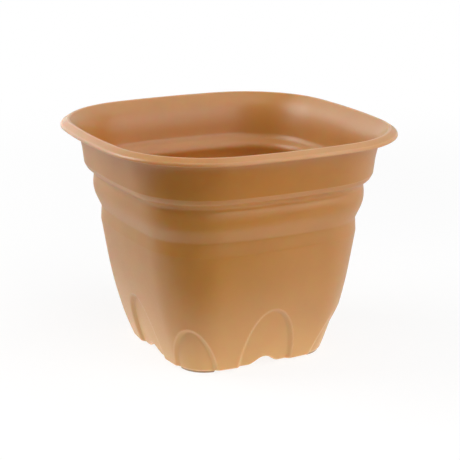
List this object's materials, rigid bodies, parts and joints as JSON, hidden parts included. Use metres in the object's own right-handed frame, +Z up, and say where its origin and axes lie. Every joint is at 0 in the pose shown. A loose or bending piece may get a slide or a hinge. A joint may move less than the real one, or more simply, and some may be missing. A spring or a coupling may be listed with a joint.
{
  "type": "square planter pot",
  "caption": "Square bellied planter in terracotta-coloured plastic, with a rolled lip, stepped collar, arched feet and push-in plugs in its drain holes.",
  "frame": {"origin": "middle of the base, on the ground that the pads stand on", "axes": "+Z up; +X and +Y square to the sides; the -Y side is called front"},
  "size_m": [0.32, 0.32, 0.2416],
  "materials": {
    "terracotta_plastic": "satin moulded plastic in a pale terracotta colour",
    "plug_plastic": "plain moulded plastic, a shade darker than the pot"
  },
  "bodies": {
    "pot": {"pot_shell": "terracotta_plastic"},
    "plug_front": {"drain_plug_front": "plug_plastic"},
    "plug_right": {"drain_plug_right": "plug_plastic"},
    "plug_back": {"drain_plug_back": "plug_plastic"},
    "plug_left": {"drain_plug_left": "plug_plastic"}
  },
  "joints": [
    {"name": "plug_front_pull", "type": "slide", "parent": "pot", "child": "plug_front", "axis": [0, 0, 1], "range_m": [0, 0.26]},
    {"name": "plug_right_pull", "type": "slide", "parent": "pot", "child": "plug_right", "axis": [0, 0, 1], "range_m": [0, 0.26]},
    {"name": "plug_back_pull", "type": "slide", "parent": "pot", "child": "plug_back", "axis": [0, 0, 1], "range_m": [0, 0.26]},
    {"name": "plug_left_pull", "type": "slide", "parent": "pot", "child": "plug_left", "axis": [0, 0, 1], "range_m": [0, 0.26]}
  ]
}
